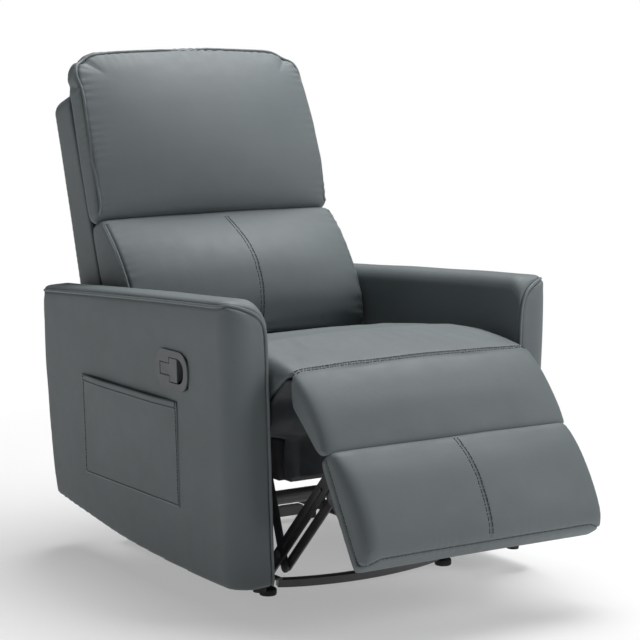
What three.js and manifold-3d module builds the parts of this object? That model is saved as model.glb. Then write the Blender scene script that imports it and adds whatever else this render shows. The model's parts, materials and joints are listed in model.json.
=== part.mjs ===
// Manual recliner armchair, built as an assembly of separate pieces.
// Millimetres. The chair faces -Y, +Z is up, and left and right are as seen from the front,
// so the release lever is on the left arm, at -X.
// Depths are measured from the arm fronts. The whole chair then moves forward by originDepth,
// so that the origin lies on the floor under the middle of its bounding box.
// The pieces are drawn with the footrest part way out and the back slightly reclined.

import * as THREE from 'three';
import { mergeVertices } from 'three/addons/utils/BufferGeometryUtils.js';
import Module from 'manifold-3d';

const wasm = await Module();
wasm.setup();

// ---------------------------------------------------------------- driving dimensions

const halfWidth = 360;
const originDepth = 280;
const gap = 0.3;                      // clearance between pieces that touch

const arm = {
  thickness: 79,
  length: 716,
  topFront: 566,
  topFall: 46,                        // how far the arm top falls towards the back
  bottom: 51,
  bottomRise: 53,                     // how far the bottom edge rises towards the back
  lean: THREE.MathUtils.degToRad(1.72),
  frontCorner: 44,
  topCorner: 45,
  innerCorner: 4,
  rearCorner: 6,
  seamDrop: 10,                       // the outer seam lies this far below the crown
  padding: 17,
};

const seat = {
  halfWidth: 266,
  seam: [-50, 445],                   // front seam, which the chaise pad turns about
  top: [[20, 458], [100, 464], [200, 453], [300, 442], [410, 429]],
  crownRise: 10,                      // extra height along the middle
  tail: [530, 400],                   // the cushion runs on under the lumbar pad
  underside: 335,
  nose: 27,
};

const backrest = {
  hinge: [560, 330],
  recline: THREE.MathUtils.degToRad(20),
  halfWidth: 270,
  foot: 60,
  top: 608,
  depthTop: 71,
  depthFoot: 100,
  sideInner: 217.9,
  topCorner: 34,
};

const pillow = { halfWidth: 274, rounding: 8 };
const lumbar = { halfWidth: 271, rounding: 8 };

const linkage = {
  seatPivot: [100, 287],              // rear main link on the side plate
  knee: [35, 101],                    // the two main links cross here
  boardPivot: [-115, 259],            // front main link on the footrest bracket
  kneeTail: 45,
  rearTail: 24,
  thickness: 4,
};

const plane = {                       // distance of each flat steel layer from the middle
  sidePlate: 219,
  rearLink: 225,
  frontLink: 231,
  rearControl: 238,
  frontControl: 219,
  footBracket: 225,
  backBracket: 213.6,
};

const base = {
  halfTrack: 200,
  front: 105,
  rear: 640,
  flange: 31,
  webTop: 56,
  webOuter: 218.6,
  frontFoot: 127,
  rearFoot: 600,
};

const seatRail = { inner: 192, outer: 218.6, front: 60, rear: 545, low: 228, high: 300 };

const frontRail = { depth: [62, 84], height: [222, 300] };
const rearRail = { depth: [518, 542], height: [228, 300] };
const dustCover = { halfWidth: 216, depth: [54, 56], height: [232, 333] };
const rearCrossBar = { halfWidth: 180, depth: [590, 610], height: [11, 30.7] };
const driveTube = { at: [300, 132], radius: 14 };
const latchBox = { depth: [236, 264], height: [126, 156] };

const springColumns = [-120, 0, 120];  // across the chair

const lever = { depth: 201, height: 422, halfLength: 57, halfHeight: 36 };

// ---------------------------------------------------------------- materials

const material = (color, roughness, metalness = 0) =>
  new THREE.MeshStandardMaterial({ color, roughness, metalness });

const leather = material(0x59646a, 0.45);
const darkCloth = material(0x16181a, 0.95);
const steel = material(0x141517, 0.4, 0.6);
const wood = material(0xc2a070, 0.7);
const springSteel = material(0x777a7d, 0.35, 0.9);
const plastic = material(0x565c60, 0.5);
const rubber = material(0x121212, 0.85);

// ---------------------------------------------------------------- geometry helpers

// Drawing axes: side outlines are (depth, height), front outlines are (across, height).
const sideBasis = new THREE.Matrix4().makeBasis(
  new THREE.Vector3(0, 1, 0), new THREE.Vector3(0, 0, 1), new THREE.Vector3(1, 0, 0));
const frontBasis = new THREE.Matrix4().makeBasis(
  new THREE.Vector3(1, 0, 0), new THREE.Vector3(0, 0, 1), new THREE.Vector3(0, -1, 0));

function polygon(points) {
  return new THREE.Shape(points.map(([a, b]) => new THREE.Vector2(a, b)));
}

function extrude(shape, depth, options = {}) {
  return new THREE.ExtrudeGeometry(shape, { depth, bevelEnabled: false, curveSegments: 8, ...options });
}

// How far a round corner falls away at a distance from the face.
const cornerDrop = (distance, radius) =>
  (distance >= radius ? 0 : radius - Math.sqrt(radius ** 2 - (radius - distance) ** 2));

// A flat piece drawn from the side, between two distances across the chair.
function sidePlate(shape, from, to, options) {
  return extrude(shape, to - from, options).applyMatrix4(sideBasis).translate(from, 0, 0);
}

// A flat piece drawn from the front, between two depths.
function frontPlate(shape, from, to, options) {
  return extrude(shape, to - from, options).applyMatrix4(frontBasis).translate(0, to, 0);
}

function block([x0, x1], [y0, y1], [z0, z1]) {
  const box = new THREE.BoxGeometry(x1 - x0, y1 - y0, z1 - z0);
  return box.translate((x0 + x1) / 2, (y0 + y1) / 2, (z0 + z1) / 2);
}

// A round bar across the chair, at a depth and height.
function pin([depth, height], radius, from, to, sides = 14) {
  const bar = new THREE.CylinderGeometry(radius, radius, to - from, sides);
  return bar.rotateZ(Math.PI / 2).translate((from + to) / 2, depth, height);
}

function sweep(points, section, steps) {
  const path = new THREE.CatmullRomCurve3(points.map((p) => new THREE.Vector3(...p)), false, 'centripetal');
  return new THREE.ExtrudeGeometry(section, { extrudePath: path, steps, bevelEnabled: false });
}

function roundSection(radius, sides) {
  const corner = (i) => {
    const turn = (2 * Math.PI * i) / sides;
    return [radius * Math.cos(turn), radius * Math.sin(turn)];
  };
  return polygon(Array.from({ length: sides }, (_, i) => corner(i)));
}

function signedVolume(geometry) {
  const position = geometry.attributes.position;
  const index = geometry.index.array;
  const [a, b, c] = [new THREE.Vector3(), new THREE.Vector3(), new THREE.Vector3()];
  let volume = 0;
  for (let i = 0; i < index.length; i += 3) {
    a.fromBufferAttribute(position, index[i]);
    b.fromBufferAttribute(position, index[i + 1]);
    c.fromBufferAttribute(position, index[i + 2]);
    volume += a.dot(b.cross(c)) / 6;
  }
  return volume;
}

function turnedInsideOut(geometry) {
  const index = geometry.index.array;
  for (let i = 0; i < index.length; i += 3) {
    [index[i], index[i + 1]] = [index[i + 1], index[i]];
  }
  return geometry;
}

// Rings with equal numbers of points are joined into one closed skin with a fan at each end.
function loft(rings) {
  const count = rings[0].length;
  const middle = (ring) => ring.reduce((sum, p) => sum.map((v, i) => v + p[i] / count), [0, 0, 0]);
  const points = [...rings.flat(), middle(rings[0]), middle(rings.at(-1))];
  const [firstFan, lastFan] = [points.length - 2, points.length - 1];
  const lastStart = (rings.length - 1) * count;
  const faces = [];
  for (let i = 0; i < count; i += 1) {
    const next = (i + 1) % count;
    for (let r = 0; r < rings.length - 1; r += 1) {
      const [low, high] = [r * count, (r + 1) * count];
      faces.push(low + i, low + next, high + next, low + i, high + next, high + i);
    }
    faces.push(firstFan, next, i, lastFan, lastStart + i, lastStart + next);
  }
  const geometry = new THREE.BufferGeometry();
  geometry.setAttribute('position', new THREE.Float32BufferAttribute(points.flat(), 3));
  geometry.setIndex(faces);
  return signedVolume(geometry) < 0 ? turnedInsideOut(geometry) : geometry;
}

function bare(geometry) {
  const copy = geometry.clone();
  copy.deleteAttribute('normal');
  copy.deleteAttribute('uv');
  return mergeVertices(copy, 1e-4);
}

function mirrored(geometry) {
  return turnedInsideOut(bare(geometry).scale(-1, 1, 1));
}

function toSolid(geometry) {
  const { index, attributes } = bare(geometry);
  const mesh = new wasm.Mesh({
    numProp: 3,
    vertProperties: new Float32Array(attributes.position.array),
    triVerts: new Uint32Array(index.array),
  });
  return new wasm.Manifold(mesh);
}

function toGeometry(solid) {
  const mesh = solid.getMesh();
  const geometry = new THREE.BufferGeometry();
  geometry.setAttribute('position', new THREE.Float32BufferAttribute(mesh.vertProperties, 3));
  geometry.setIndex(Array.from(mesh.triVerts));
  return geometry;
}

function join(first, ...others) {
  return toGeometry(others.reduce((solid, other) => solid.add(toSolid(other)), toSolid(first)));
}

function cut(body, ...tools) {
  return toGeometry(tools.reduce((solid, tool) => solid.subtract(toSolid(tool)), toSolid(body)));
}

// Moves every vertex by a rule that takes and returns [x, y, z].
function reshaped(geometry, rule) {
  const position = geometry.attributes.position;
  for (let i = 0; i < position.count; i += 1) {
    position.setXYZ(i, ...rule([position.getX(i), position.getY(i), position.getZ(i)]));
  }
  return geometry;
}

// ---------------------------------------------------------------- the chair and its groups

const chair = new THREE.Group();
chair.position.y = -originDepth;

const backGroup = new THREE.Group();
backGroup.position.set(0, ...backrest.hinge);
backGroup.rotation.x = -backrest.recline;

function armGroup(side) {
  const group = new THREE.Group();
  group.position.set(side * halfWidth, 0, arm.topFront);
  group.rotation.y = side * arm.lean;
  return group;
}
const armGroups = { left: armGroup(-1), right: armGroup(1) };
chair.add(backGroup, armGroups.left, armGroups.right);

function addPart(name, geometry, finish, parent = chair) {
  const mesh = new THREE.Mesh(geometry, finish);
  mesh.name = name;
  parent.add(mesh);
}

// Adds a piece on the right and its mirror image on the left.
function addPair(name, geometry, finish, parent = chair) {
  addPart(`${name}_right`, geometry, finish, parent);
  addPart(`${name}_left`, mirrored(geometry), finish, parent);
}

// ---------------------------------------------------------------- upholstered pads

// A pad drawn from the side: the outline shrinks towards both ends, and a rule then swells it.
function pad(shape, padHalfWidth, rounding, swell) {
  const outline = shape.getPoints(4);
  const box = new THREE.Box2().setFromPoints(outline);
  const centre = box.getCenter(new THREE.Vector2());
  const half = box.getSize(new THREE.Vector2()).multiplyScalar(0.5);
  const ringAt = (x) => {
    const drop = cornerDrop(padHalfWidth - Math.abs(x), rounding);
    const shrink = new THREE.Vector2(1 - drop / half.x, 1 - drop / half.y);
    return outline.map((p) => p.clone().sub(centre).multiply(shrink).add(centre)).map((p) => [x, p.x, p.y]);
  };
  const ends = [0, 0.1, 0.35, 1].map((t) => padHalfWidth - rounding * t);
  const stations = [...ends, ...[0.88, 0.74, 0.6, 0.45, 0.3, 0.15].map((t) => padHalfWidth * t)];
  const across = [...stations, 0, ...stations.map((x) => -x).reverse()];
  return reshaped(loft(across.map(ringAt)), swell);
}

const dome = (x, half) => 1 - (x / half) ** 2;

function rounded(points, start) {
  const shape = new THREE.Shape();
  shape.moveTo(...start);
  shape.splineThru(points.map(([a, b]) => new THREE.Vector2(a, b)));
  return shape;
}

function seatCushion() {
  const [frontDepth, frontHeight] = seat.seam;
  const [tailDepth, tailHeight] = seat.tail;
  const shape = rounded(seat.top, seat.seam);
  shape.quadraticCurveTo(428, 426, 437, 414);
  shape.quadraticCurveTo(446, 403, 470, 402);
  shape.lineTo(tailDepth, tailHeight);
  shape.lineTo(tailDepth, seat.underside);
  shape.lineTo(seat.nose, seat.underside);
  shape.lineTo(seat.nose, frontHeight - (seat.nose - frontDepth) * 0.84);
  return pad(shape, seat.halfWidth, 12, ([x, y, z]) => {
    const lift = z > 400 ? (z - 400) / 70 : 0;
    return [x, y, z + seat.crownRise * lift * dome(x, seat.halfWidth)];
  });
}

// The chaise pad and footrest pad are drawn lying flat: along the pad, then out from it.
function laidAlong([depth, height], degreesFromDown, geometry) {
  const angle = THREE.MathUtils.degToRad(degreesFromDown);
  const along = [-Math.sin(angle), -Math.cos(angle)];
  const out = [-Math.cos(angle), Math.sin(angle)];
  return reshaped(geometry, ([x, a, n]) =>
    [x, depth + a * along[0] + n * out[0], height + a * along[1] + n * out[1]]);
}

const chaiseAngle = 41.6;
const boardAngle = 31;
const creaseAt = [-160, 321];
const footrestHalfWidth = 260;

function chaisePad() {
  const shape = rounded([[45, 9], [90, 12], [135, 9], [165, 0]], [1, 0]);
  shape.lineTo(157, -38);
  shape.lineTo(146, -44);
  shape.lineTo(46, -44);
  const flat = pad(shape, seat.halfWidth - 1, 8, ([x, a, n]) =>
    [x, a, n + (n > -10 ? 9 * dome(x, seat.halfWidth) * Math.sin((Math.PI * a) / 166) : 0)]);
  return turnedInsideOut(laidAlong(seat.seam, chaiseAngle, flat));
}

function footrestPad() {
  const shape = rounded([[10, 11], [45, 24], [95, 31], [145, 31], [185, 23], [206, 4]], [1, -2]);
  shape.lineTo(206, -34);
  shape.quadraticCurveTo(206, -38, 200, -38);
  shape.lineTo(10, -38);
  shape.lineTo(4, -34);
  const flat = pad(shape, footrestHalfWidth, 8, ([x, a, n]) =>
    [x, a, n + (n > 0 ? 8 * dome(x, footrestHalfWidth) * Math.sin((Math.PI * a) / 212) : 0)]);
  return turnedInsideOut(laidAlong(creaseAt, boardAngle, flat));
}

// Back pads are drawn in the upright frame of the back: depth from the hinge, height above it.
function headPillow() {
  const shape = rounded([[-50, 360], [-54, 460], [-50, 570], [-36, 652], [-14, 678]], [-44, 338]);
  shape.quadraticCurveTo(4, 674, 3, 646);
  shape.lineTo(3, 350);
  shape.quadraticCurveTo(2, 330, -20, 327);
  return pad(shape, pillow.halfWidth, pillow.rounding, ([x, y, z]) => {
    const along = THREE.MathUtils.clamp((z - 328) / 340, 0, 1);
    const forward = THREE.MathUtils.smoothstep(-y, 0, 54);
    const crown = dome(x, pillow.halfWidth);
    const bulge = 44 * forward * crown * Math.sin(Math.PI * (0.22 + 0.66 * along));
    return [x, y - bulge, z + 10 * along * crown];
  });
}

function lumbarPad() {
  const shape = rounded([[-76, 262], [-98, 190], [-105, 130], [-101, 98]], [-46, 318]);
  shape.quadraticCurveTo(-97, 62, -80, 59);
  shape.lineTo(-50, 80);
  shape.lineTo(-8, 82);
  shape.quadraticCurveTo(3, 84, 3, 96);
  shape.lineTo(3, 308);
  shape.quadraticCurveTo(2, 323, -20, 325);
  return pad(shape, lumbar.halfWidth, lumbar.rounding, ([x, y, z]) => {
    const along = THREE.MathUtils.clamp((z - 82) / 242, 0, 1);
    const forward = THREE.MathUtils.smoothstep(-y, 0, 100);
    const crown = dome(x, lumbar.halfWidth);
    return [x, y - 56 * forward * crown * Math.sin(Math.PI * (0.2 + 0.62 * along)), z];
  });
}

addPart('seat_cushion', seatCushion(), leather);
addPart('chaise_pad', chaisePad(), leather);
addPart('footrest_pad', footrestPad(), leather);
addPart('head_pillow', headPillow(), leather, backGroup);
addPart('lumbar_pad', lumbarPad(), leather, backGroup);

// ---------------------------------------------------------------- arms

const armTop = (depth) => -arm.topFall * (depth / arm.length) ** 1.15;
const armBottom = (depth) =>
  arm.bottom - arm.topFront + arm.bottomRise * (Math.max(0, depth - 60) / (arm.length - 60)) ** 2.2;

// The rear edge of the arm tucks in towards the floor.
const rearTuck = (height) => 1 - 0.035 * (Math.max(0, -height - 190) / 280) ** 1.5;

// One cross-section of the arm, measured from its outer top edge.
function armSection(depth) {
  const behind = cornerDrop(arm.length - depth, arm.rearCorner);
  const outer = -cornerDrop(depth, arm.frontCorner) - behind;
  const inner = -arm.thickness + cornerDrop(depth, arm.innerCorner) + behind;
  const top = armTop(depth) - cornerDrop(depth, arm.topCorner) - behind;
  const bottom = armBottom(depth) + behind * 0.4;
  const roll = Math.min(28, (outer - inner) * 0.42);
  const ring = [];
  for (const t of [0, 0.3, 0.6, 1]) {
    ring.push([outer, THREE.MathUtils.lerp(bottom, top - arm.seamDrop, t)]);
  }
  ring.push([outer - roll * 0.25, top - 3.5], [outer - roll * 0.75, top]);
  for (const turn of [0, 0.33, 0.67, 1]) {
    const angle = (turn * Math.PI) / 2;
    ring.push([inner + roll * (1 - Math.sin(angle)), top - roll * (1 - Math.cos(angle))]);
  }
  for (const t of [0.5, 1]) {
    ring.push([inner, THREE.MathUtils.lerp(top - roll, bottom, t)]);
  }
  return ring.map(([x, z]) => [x, depth * rearTuck(z), z]);
}

function armBody() {
  const corner = [0, 0.03, 0.12, 0.26, 0.45, 0.7, 1].map((t) => arm.frontCorner * t);
  const middle = [120, 200, 290, 380, 470, 560, 640];
  const rear = [20, arm.rearCorner, arm.rearCorner * 0.4, arm.rearCorner * 0.1, 0].map((t) => arm.length - t);
  return loft([...corner, ...middle, ...rear].map(armSection));
}

const armFrame = {
  front: 38,
  rear: 668,
  topDrop: 22,
  inner: -arm.thickness + arm.padding,
  outer: -arm.padding,
  member: 46,
};

function armFrameOutline(inset) {
  const top = (depth) => armTop(depth) - armFrame.topDrop - inset;
  const low = (depth) => armBottom(depth) + 14 + inset;
  const [front, rear] = [armFrame.front + inset, armFrame.rear - inset];
  return [[front, low(front)], [rear, low(rear)], [rear, top(rear)], [front, top(front)]];
}

function armFrameBox() {
  const shape = polygon(armFrameOutline(0));
  shape.holes.push(polygon(armFrameOutline(armFrame.member)));
  return sidePlate(shape, armFrame.inner, armFrame.outer);
}

// The padding is hollow round the frame and open underneath.
function armHollow() {
  const [lowFront, lowRear, topRear, topFront] = armFrameOutline(-gap);
  const open = polygon([[lowFront[0], -560], [lowRear[0], -560], topRear, topFront]);
  return sidePlate(open, armFrame.inner - gap, armFrame.outer + gap);
}

const armShell = cut(armBody(), armHollow());
const leverHole = block(
  [-arm.padding - 2, 2],
  [lever.depth - 51, lever.depth + 49],
  [lever.height - arm.topFront - 30, lever.height - arm.topFront + 30]);
const cableHole = pin([248, 141 - arm.topFront], 6, -arm.thickness - 4, -arm.thickness + arm.padding + 4);

addPart('arm_pad_right', armShell, leather, armGroups.right);
addPart('arm_pad_left', mirrored(cut(armShell, leverHole, cableHole)), leather, armGroups.left);
addPart('arm_frame_right', armFrameBox(), wood, armGroups.right);
addPart('arm_frame_left', mirrored(armFrameBox()), wood, armGroups.left);

function armGlide() {
  const disc = new THREE.CylinderGeometry(13, 11.5, 9, 16);
  return disc.rotateX(Math.PI / 2).translate(-74 + 15, 20, arm.bottom - arm.topFront - 5.2);
}
addPart('arm_glide_right', armGlide(), rubber, armGroups.right);
addPart('arm_glide_left', mirrored(armGlide()), rubber, armGroups.left);

// ---------------------------------------------------------------- side pocket and release lever

const pocket = { front: 190, rear: 554, low: 169, high: 365, depth: 11, wall: 2.5 };

function sidePocket() {
  const [low, high] = [pocket.low - arm.topFront, pocket.high - arm.topFront];
  const outer = block([gap, pocket.depth], [pocket.front, pocket.rear], [low, high]);
  const room = block(
    [-1, pocket.depth - pocket.wall],
    [pocket.front + pocket.wall, pocket.rear - pocket.wall],
    [low + pocket.wall, high + 1]);
  return cut(outer, room);
}
addPart('side_pocket', mirrored(sidePocket()), leather, armGroups.left);

// The lever is drawn from the side, with depth and height measured from the middle of its bezel.
const leverAt = ([depth, height]) => [lever.depth + depth, lever.height - arm.topFront + height];

function stadium(halfLength, halfHeight, radius) {
  const shape = new THREE.Shape();
  const [a, b] = [halfLength - radius, halfHeight - radius];
  const corner = (x, y, from) => {
    const [cx, cy] = leverAt([x, y]);
    shape.absarc(cx, cy, radius, from, from + Math.PI / 2);
  };
  corner(a, b, 0);
  corner(-a, b, Math.PI / 2);
  corner(-a, -b, Math.PI);
  corner(a, -b, 1.5 * Math.PI);
  return shape;
}

function leverOpening() {
  const shape = new THREE.Shape();
  const front = leverAt([-23, 0]);
  shape.moveTo(...leverAt([8, -23]));
  shape.lineTo(front[0], front[1] - 23);
  shape.absarc(front[0], front[1] - 3, 20, -Math.PI / 2, -Math.PI, true);
  shape.absarc(front[0], front[1] + 3, 20, Math.PI, Math.PI / 2, true);
  shape.lineTo(...leverAt([8, 23]));
  shape.lineTo(...leverAt([8, 12]));
  shape.lineTo(...leverAt([41, 12]));
  shape.lineTo(...leverAt([41, -12]));
  shape.lineTo(...leverAt([8, -12]));
  return shape;
}

const leverPivot = leverAt([35, 0]);

function uprightPin(radius, x, depth, from, to) {
  const bar = new THREE.CylinderGeometry(radius, radius, to - from, 12);
  return bar.rotateX(Math.PI / 2).translate(x, depth, (from + to) / 2);
}

function leverBezel() {
  const rim = sidePlate(stadium(lever.halfLength, lever.halfHeight, 30), gap, 3.3);
  const cup = sidePlate(stadium(49, 28, 16), -29, 1);
  const room = sidePlate(stadium(46.5, 25.5, 14), -26.5, -2.2);
  const [depth, height] = leverPivot;
  const ears = [-17, 12].map((z) => block([-8, 1], [depth - 6, depth + 6], [height + z, height + z + 5]));
  const bore = uprightPin(2, 0, depth, height - 16, height + 16);
  return cut(join(cut(join(rim, cup), room), ...ears), sidePlate(leverOpening(), -3, 5), bore);
}

function leverPaddle() {
  const [front, low] = leverAt([-20, -21.5]);
  const [step, high] = leverAt([7, 21.5]);
  const [rear, height] = leverAt([39, 0]);
  const face = polygon([[front, low], [step, low], [step, height - 10.5], [rear, height - 10.5],
    [rear, height + 10.5], [step, height + 10.5], [step, high], [front, high]]);
  const lip = block([-9, 0], [front, front + 3], [low + 3, high - 3]);
  const barrel = uprightPin(3.2, 0, leverPivot[0], height - 10.5, height + 10.5);
  const trunnion = uprightPin(1.6, 0, leverPivot[0], height - 15.5, height + 15.5);
  return join(sidePlate(face, -0.6, 3), lip, barrel, trunnion);
}

addPart('lever_bezel', mirrored(leverBezel()), plastic, armGroups.left);
addPart('lever_paddle', mirrored(leverPaddle()), plastic, armGroups.left);

// ---------------------------------------------------------------- base

function baseRail() {
  const web = polygon([[base.front, base.flange], [base.rear, base.flange],
    [base.rear, base.webTop], [base.front, base.webTop]]);
  for (const depth of [170, 215, 520, 560]) {
    const hole = new THREE.Path();
    hole.absarc(depth, base.flange + 14, 4, 0, 2 * Math.PI, true);
    web.holes.push(hole);
  }
  const upright = sidePlate(web, base.webOuter - 3, base.webOuter, { curveSegments: 5 });
  const flange = block([182, base.webOuter], [base.front, base.rear], [base.flange, base.flange + 3]);
  return join(upright, flange);
}

function glideFoot(depth) {
  const neckTop = base.flange - gap;
  const profile = [[0, 0], [15, 0], [16.5, 3], [16.5, 10], [14, 13], [7, 14], [7, neckTop], [0, neckTop]];
  const foot = new THREE.LatheGeometry(profile.map(([r, z]) => new THREE.Vector2(r, z)), 16);
  return foot.rotateX(Math.PI / 2).translate(base.halfTrack, depth, 0);
}

function frontCrossBar() {
  const flat = polygon([[-7, -10], [7, -10], [7, 10], [-7, 10]]);
  const bow = [[-180, 127, 20], [-150, 116, 19], [-75, 104, 17], [0, 101, 16],
    [75, 104, 17], [150, 116, 19], [180, 127, 20]];
  return sweep(bow, flat, 20);
}

addPair('base_rail', baseRail(), steel);
addPair('foot_front', glideFoot(base.frontFoot), rubber);
addPair('foot_rear', glideFoot(base.rearFoot), rubber);
addPart('front_cross_bar', frontCrossBar(), steel);
addPart('rear_cross_bar', block(
  [-rearCrossBar.halfWidth, rearCrossBar.halfWidth], rearCrossBar.depth, rearCrossBar.height), steel);
const tubeEnd = plane.sidePlate - gap;
addPart('drive_tube', pin(driveTube.at, driveTube.radius, -tubeEnd, tubeEnd, 18), steel);

// ---------------------------------------------------------------- seat frame and side plates

const direction = ([a, b], [c, d]) => {
  const length = Math.hypot(c - a, d - b);
  return [(c - a) / length, (d - b) / length];
};
const ahead = ([a, b], [u, v], distance) => [a + u * distance, b + v * distance];

const { seatPivot, knee, boardPivot } = linkage;
const frontLinkTail = ahead(knee, direction(boardPivot, knee), linkage.kneeTail);
const rearLinkTail = ahead(knee, direction(seatPivot, knee), linkage.rearTail);
const seatControl = [seatPivot[0] + frontLinkTail[0] - knee[0], seatPivot[1] + frontLinkTail[1] - knee[1]];
const boardControl = [boardPivot[0] + rearLinkTail[0] - knee[0], boardPivot[1] + rearLinkTail[1] - knee[1]];

const pinRadius = 4;
const boreRadius = pinRadius + 0.4;

function holeAt([depth, height], radius = boreRadius) {
  const hole = new THREE.Path();
  hole.absarc(depth, height, radius, 0, 2 * Math.PI, true);
  return hole;
}

// A pin that stands on a plate, reaches outwards or inwards, and ends in a flat head that
// starts at headAt. A thin head passes between two neighbouring layers of links.
const headRadius = 7;
const headHeight = 2.5;
const thinHeadHeight = 1.4;

function headedPin(at, from, headAt, height = headHeight) {
  const end = headAt + Math.sign(headAt - from) * height;
  const shank = pin(at, pinRadius, Math.min(from, headAt), Math.max(from, headAt));
  return join(shank, pin(at, headRadius, Math.min(headAt, end), Math.max(headAt, end)));
}

// Side plate: carries the seat rail, the footrest links and the back's hinge.
function mechanismPlate() {
  const shape = new THREE.Shape();
  shape.moveTo(238, 38);
  shape.lineTo(482, 38);
  shape.lineTo(482, 150);
  shape.quadraticCurveTo(486, 226, 552, 308);
  shape.lineTo(578, 320);
  shape.absarc(backrest.hinge[0], backrest.hinge[1], 20, -0.4, 2.2, false);
  shape.quadraticCurveTo(520, 304, 470, 302);
  shape.lineTo(100, 304);
  shape.absarc(seatPivot[0], seatPivot[1], 16, Math.PI / 2, 1.25 * Math.PI, false);
  shape.lineTo(seatControl[0] - 10, seatControl[1] - 13);
  shape.lineTo(seatControl[0] + 8, seatControl[1] - 15);
  shape.quadraticCurveTo(240, 214, 238, 150);
  shape.holes.push(holeAt(backrest.hinge));
  const steelPlate = sidePlate(shape, plane.sidePlate, plane.sidePlate + linkage.thickness);
  const core = plane.sidePlate + 2;
  const rearPin = headedPin(seatPivot, core, plane.rearLink + 4.5);
  const controlPin = headedPin(seatControl, core, plane.rearControl + 4.5);
  return join(steelPlate, rearPin, controlPin);
}

addPair('side_plate', mechanismPlate(), steel);
addPair('seat_rail', block(
  [seatRail.inner, seatRail.outer],
  [seatRail.front, seatRail.rear],
  [seatRail.low, seatRail.high]), darkCloth);
const betweenRails = [-seatRail.inner + gap, seatRail.inner - gap];
addPart('seat_front_rail', block(betweenRails, frontRail.depth, frontRail.height), steel);
addPart('seat_rear_rail', block(betweenRails, rearRail.depth, rearRail.height), wood);
addPart('front_dust_cover', block(
  [-dustCover.halfWidth, dustCover.halfWidth], dustCover.depth, dustCover.height), darkCloth);

// Flat springs bend to and fro along their length and arch a little upwards.
function zigzag(length, turns, swing, arch) {
  const points = [];
  for (let i = 0; i <= turns * 2; i += 1) {
    const t = i / (turns * 2);
    const side = i === 0 || i === turns * 2 ? 0 : (i % 2) * 2 - 1;
    points.push([side * swing, t * length, arch * Math.sin(Math.PI * t)]);
  }
  return sweep(points, roundSection(1.9, 5), turns * 6);
}

springColumns.forEach((across, i) => {
  const spring = zigzag(462, 7, 22, 16).translate(across, 72, seatRail.high + 3);
  addPart(`seat_spring_${i + 1}`, spring, springSteel);
});

function armBracket() {
  const [near, far] = [plane.sidePlate + linkage.thickness + gap, 267];
  const outline = polygon([[near, 128], [near + 3, 128], [near + 3, 165], [far - 3, 165],
    [far - 3, 128], [far, 128], [far, 168], [near, 168]]);
  return frontPlate(outline, 300, 420);
}
addPair('arm_bracket', armBracket(), steel);

const latchInner = -plane.sidePlate - linkage.thickness - gap;
addPart('latch_housing', block([-244, latchInner], latchBox.depth, latchBox.height), steel);

function releaseCable() {
  const route = [[-330, 228, 390], [-330, 228, 350], [-326, 230, 270], [-322, 236, 195],
    [-312, 244, 154], [-294, 248, 142], [-270, 248.5, 141], [-244.5, 249, 141]];
  return sweep(route, roundSection(3, 8), 36);
}
addPart('release_cable', releaseCable(), rubber);

// ---------------------------------------------------------------- footrest linkage

// A flat bar with round ends through two points, with a bore at each listed pivot.
function linkShape(from, to, width, bores) {
  const angle = Math.atan2(to[1] - from[1], to[0] - from[0]);
  const shape = new THREE.Shape();
  shape.absarc(from[0], from[1], width / 2, angle + Math.PI / 2, angle + 1.5 * Math.PI);
  shape.absarc(to[0], to[1], width / 2, angle - Math.PI / 2, angle + Math.PI / 2);
  shape.holes.push(...bores.map((at) => holeAt(at)));
  return shape;
}

function link(from, to, width, distance, bores) {
  const shape = linkShape(from, to, width, bores);
  return sidePlate(shape, distance, distance + linkage.thickness, { curveSegments: 6 });
}

function rearLink() {
  const bar = link(seatPivot, rearLinkTail, 22, plane.rearLink, [seatPivot]);
  const kneePin = headedPin(knee, plane.rearLink + 2, plane.frontLink + 4.5);
  const tailPin = headedPin(rearLinkTail, plane.rearLink + 2, plane.frontControl - 0.5);
  return join(bar, kneePin, tailPin);
}

function frontLink() {
  const bar = link(frontLinkTail, boardPivot, 27, plane.frontLink, [knee]);
  const rib = link(ahead(boardPivot, direction(boardPivot, knee), 22),
    ahead(knee, direction(knee, boardPivot), 22), 7, plane.frontLink + 2, []);
  const tailPin = headedPin(frontLinkTail, plane.frontLink + 2, plane.rearControl + 4.5);
  const boardPin = headedPin(boardPivot, plane.frontLink + 2, plane.footBracket - gap, thinHeadHeight);
  return join(bar, rib, tailPin, boardPin);
}

function rearControlLink() {
  return link(seatControl, frontLinkTail, 18, plane.rearControl, [seatControl, frontLinkTail]);
}

function frontControlLink() {
  const bar = link(rearLinkTail, boardControl, 18, plane.frontControl, [rearLinkTail]);
  const headAt = plane.footBracket + linkage.thickness + gap;
  return join(bar, headedPin(boardControl, plane.frontControl + 2, headAt, thinHeadHeight));
}

addPair('rear_link', rearLink(), steel);
addPair('front_link', frontLink(), steel);
addPair('rear_control_link', rearControlLink(), steel);
addPair('front_control_link', frontControlLink(), steel);

// ---------------------------------------------------------------- footrest board and brackets

const boardFace = -38.5;
const boardBack = -50.5;

function footrestBoard() {
  const flat = bare(block([-238, 238], [10, 200], [boardBack, boardFace]));
  return turnedInsideOut(laidAlong(creaseAt, boardAngle, flat));
}

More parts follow.
